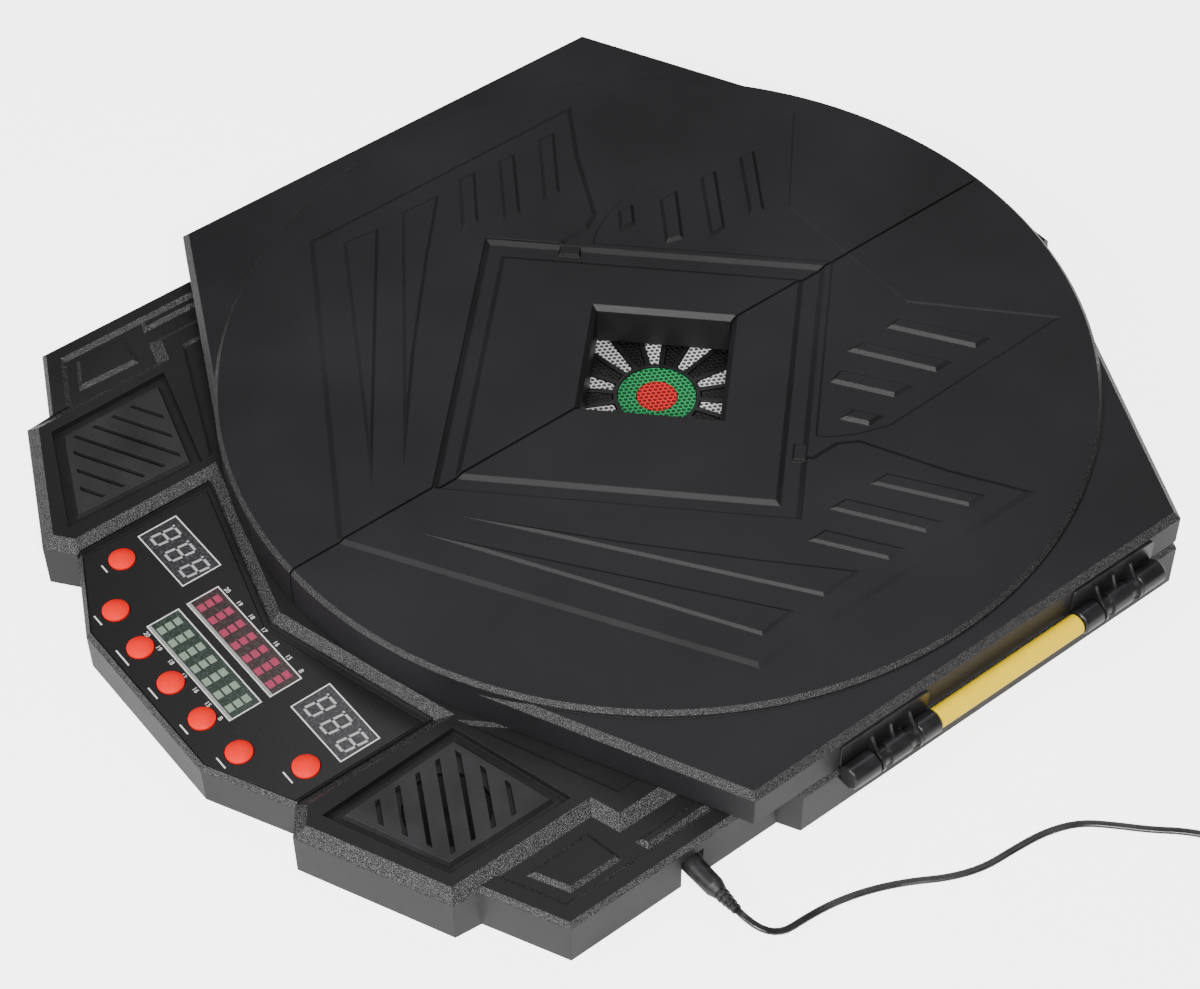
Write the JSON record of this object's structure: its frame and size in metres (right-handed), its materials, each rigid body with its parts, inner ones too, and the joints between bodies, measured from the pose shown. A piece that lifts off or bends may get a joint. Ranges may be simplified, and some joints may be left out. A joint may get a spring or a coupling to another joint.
{
  "type": "electronic dartboard cabinet",
  "caption": "Electronic soft-tip dartboard in a flat cabinet with two hinged doors over the target, a score panel with press buttons, grilles and a corded wall adapter.",
  "frame": {"origin": "where the axis of the bull meets the flat back of the cabinet", "axes": "+X to the right of the board as a player sees it, +Y up the board towards the top of the cabinet, +Z out of its front"},
  "size_m": [0.7425, 0.5327, 0.0546],
  "materials": {
    "adapter_plastic": "black",
    "array_green": "unlit green",
    "array_red": "unlit red",
    "button_orange": "satin orange-red",
    "catch_steel": "plain",
    "circuit_board": "solder mask",
    "cord_rubber": "matte black",
    "cord_vinyl": "soft black vinyl, two conductors side by side",
    "display_digits": "grey segments under a clear face",
    "door_plastic": "grained charcoal moulding, speckled bevels",
    "grille_plastic": "fine grain",
    "housing_plastic": "grained charcoal moulding",
    "jack_plastic": "black",
    "keypad_rubber": "matte",
    "magnet_ferrite": "dark ferrite",
    "panel_gloss": "glossy black",
    "prong_brass": "bright plating",
    "rack_plastic": "plain black",
    "rear_plastic": "plain black moulding",
    "rod_steel": "drawn",
    "screw_steel": "black zinc",
    "segment_black": "satin",
    "segment_green": "satin",
    "segment_red": "satin",
    "segment_white": "satin",
    "sensor_film": "matte",
    "speaker_body": "black frame, paper cone",
    "spider_plastic": "fine grain",
    "tie_wire": "paper-covered wire",
    "tube_yellow": "glossy yellow"
  },
  "bodies": {
    "cabinet": {"adapter_prongs": "prong_brass", "catch_plates": "catch_steel", "control_panel": "panel_gloss", "cord_coil": "cord_vinyl", "cord_tie": "tie_wire", "display_left": "display_digits", "display_right": "display_digits", "double_green": "segment_green", "double_red": "segment_red", "front_housing": "housing_plastic", "hinge_bracket_left": "housing_plastic", "hinge_bracket_right": "housing_plastic", "hinge_rod_left": "rod_steel", "hinge_rod_right": "rod_steel", "hinge_tube_left": "tube_yellow", "hinge_tube_right": "tube_yellow", "inner_single_black": "segment_black", "inner_single_white": "segment_white", "keypad_mat": "keypad_rubber", "number_ring": "housing_plastic", "outer_single_black": "segment_black", "outer_single_white": "segment_white", "panel_board": "circuit_board", "power_cord": "cord_vinyl", "power_jack": "jack_plastic", "power_plug": "cord_rubber", "rear_cover": "rear_plastic", "rear_screws": "screw_steel", "ring_screws": "screw_steel", "score_array_lower": "array_green", "score_array_upper": "array_red", "sensor_mat": "sensor_film", "speaker_driver": "speaker_body", "speaker_grille_left": "grille_plastic", "speaker_grille_right": "grille_plastic", "spider": "spider_plastic", "target_backplate": "rear_plastic", "triple_green": "segment_green", "triple_red": "segment_red", "wall_adapter": "adapter_plastic"},
    "right_door": {"door_right": "door_plastic", "hinge_clips_right": "housing_plastic", "dart_rack_right": "rack_plastic", "door_magnets_right": "magnet_ferrite"},
    "left_door": {"door_left": "door_plastic", "hinge_clips_left": "housing_plastic", "dart_rack_left": "rack_plastic", "door_magnets_left": "magnet_ferrite"},
    "inner_bull": {"inner_bull": "segment_red"},
    "outer_bull": {"outer_bull": "segment_green"},
    "button_1": {"button_1": "button_orange"},
    "button_2": {"button_2": "button_orange"},
    "button_3": {"button_3": "button_orange"},
    "button_4": {"button_4": "button_orange"},
    "button_5": {"button_5": "button_orange"},
    "button_6": {"button_6": "button_orange"},
    "button_7": {"button_7": "button_orange"}
  },
  "joints": [
    {"name": "right_door_swing", "type": "hinge", "parent": "cabinet", "child": "right_door", "pos_m": [0.2333, 0, 0.0283], "axis": [0, 1, 0], "range_deg": [0, 170]},
    {"name": "left_door_swing", "type": "hinge", "parent": "cabinet", "child": "left_door", "pos_m": [-0.2333, 0, 0.0283], "axis": [0, -1, 0], "range_deg": [0, 170]},
    {"name": "button_1_press", "type": "slide", "parent": "cabinet", "child": "button_1", "axis": [0, 0, -1], "range_m": [0, 0.0012], "stiffness_N_per_m": 800},
    {"name": "button_2_press", "type": "slide", "parent": "cabinet", "child": "button_2", "axis": [0, 0, -1], "range_m": [0, 0.0012], "stiffness_N_per_m": 800},
    {"name": "button_3_press", "type": "slide", "parent": "cabinet", "child": "button_3", "axis": [0, 0, -1], "range_m": [0, 0.0012], "stiffness_N_per_m": 800},
    {"name": "button_4_press", "type": "slide", "parent": "cabinet", "child": "button_4", "axis": [0, 0, -1], "range_m": [0, 0.0012], "stiffness_N_per_m": 800},
    {"name": "button_5_press", "type": "slide", "parent": "cabinet", "child": "button_5", "axis": [0, 0, -1], "range_m": [0, 0.0012], "stiffness_N_per_m": 800},
    {"name": "button_6_press", "type": "slide", "parent": "cabinet", "child": "button_6", "axis": [0, 0, -1], "range_m": [0, 0.0012], "stiffness_N_per_m": 800},
    {"name": "button_7_press", "type": "slide", "parent": "cabinet", "child": "button_7", "axis": [0, 0, -1], "range_m": [0, 0.0012], "stiffness_N_per_m": 800},
    {"name": "inner_bull_press", "type": "slide", "parent": "cabinet", "child": "inner_bull", "axis": [0, 0, -1], "range_m": [0, 0.001], "stiffness_N_per_m": 1500},
    {"name": "outer_bull_press", "type": "slide", "parent": "cabinet", "child": "outer_bull", "axis": [0, 0, -1], "range_m": [0, 0.001], "stiffness_N_per_m": 1500}
  ]
}
